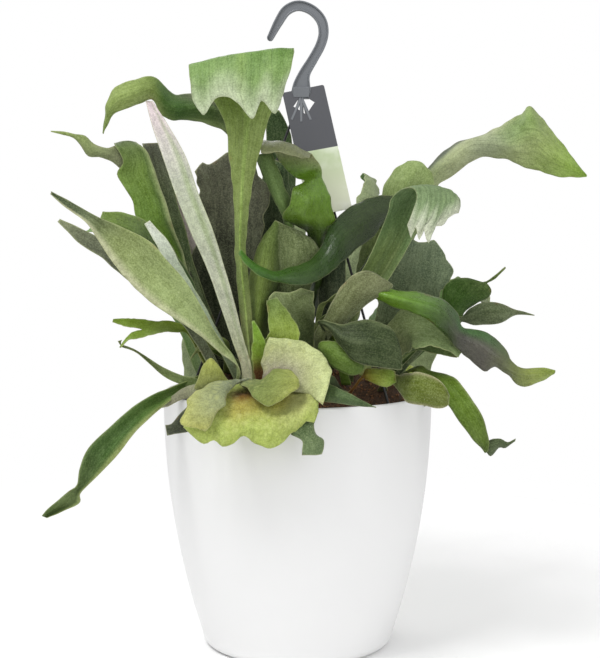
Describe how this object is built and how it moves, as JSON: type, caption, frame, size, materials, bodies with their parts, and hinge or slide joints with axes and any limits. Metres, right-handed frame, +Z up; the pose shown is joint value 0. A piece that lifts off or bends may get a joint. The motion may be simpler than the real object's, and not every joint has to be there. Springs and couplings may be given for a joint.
{
  "type": "potted staghorn fern",
  "caption": "Staghorn fern with forked antler fronds and rounded shield fronds, in a nursery pot with a wire hanger and hook, standing in a smooth tapered planter.",
  "frame": {"origin": "middle of the planter's flat foot, on the surface that it stands on", "axes": "+Z up, -Y towards the viewer and the side that the shield fronds drape over, +X to the viewer's right"},
  "size_m": [0.4305, 0.3423, 0.5255],
  "materials": {
    "white_plastic": "satin white moulded plastic",
    "nursery_plastic": "dark thin moulded plastic",
    "soil": null,
    "rhizome": null,
    "hook_plastic": "mid grey moulded plastic",
    "wire": "black coated steel wire",
    "card": "plain coated card",
    "leaf_green": "living leaf, soft satin with a felted skin",
    "leaf_dark": "living leaf, dark and satin",
    "leaf_pale": "living leaf, pale felted side",
    "shield_yellow": "living shield frond, yellow-green and matte"
  },
  "bodies": {
    "root": {"planter": "white_plastic", "nursery_pot": "nursery_plastic", "soil": "soil", "rhizome": "rhizome", "hanger_hook": "hook_plastic", "wire_left": "wire", "wire_right": "wire", "wire_back": "wire", "tag": "card", "curl_front": "leaf_green", "silver_strap": "leaf_pale", "olive_left": "leaf_pale", "under_left": "leaf_dark", "bright_leaf": "leaf_green", "olive_rise": "leaf_green", "shield_low": "shield_yellow", "shield_fold": "leaf_green", "shield_lip": "leaf_green", "rim_leaf": "leaf_green", "shield_back": "shield_yellow", "shield_tab": "leaf_green", "fork_left": "leaf_green", "thin_left": "leaf_green", "long_left": "leaf_green", "wavy_left": "leaf_green", "dark_left": "leaf_dark", "dark_lobe": "leaf_dark", "sliver_left": "leaf_pale", "grey_broad": "leaf_dark", "centre_green": "leaf_green", "ribbon_s": "leaf_green", "curl_right": "leaf_green", "brown_front": "leaf_green", "glossy_right": "leaf_green", "dark_front": "leaf_dark", "small_round": "leaf_green", "soil_leaf": "leaf_green", "thin_stalk": "leaf_green", "olive_cup": "leaf_pale", "fork_right": "leaf_green", "pale_front": "leaf_pale", "broad_right": "leaf_dark", "low_right": "leaf_green", "long_right": "leaf_green", "thin_right": "leaf_green", "arch_left": "leaf_green", "top_fold": "leaf_green", "olive_mid": "leaf_pale", "behind_tag": "leaf_dark", "back_strap": "leaf_green", "back_right": "leaf_green", "rear_left": "leaf_green", "rear_right": "leaf_green", "rear_centre": "leaf_green", "rear_drop_left": "leaf_green", "rear_drop_right": "leaf_green", "rear_shield": "shield_yellow", "side_left": "leaf_green", "side_right": "leaf_green"}
  },
  "joints": []
}
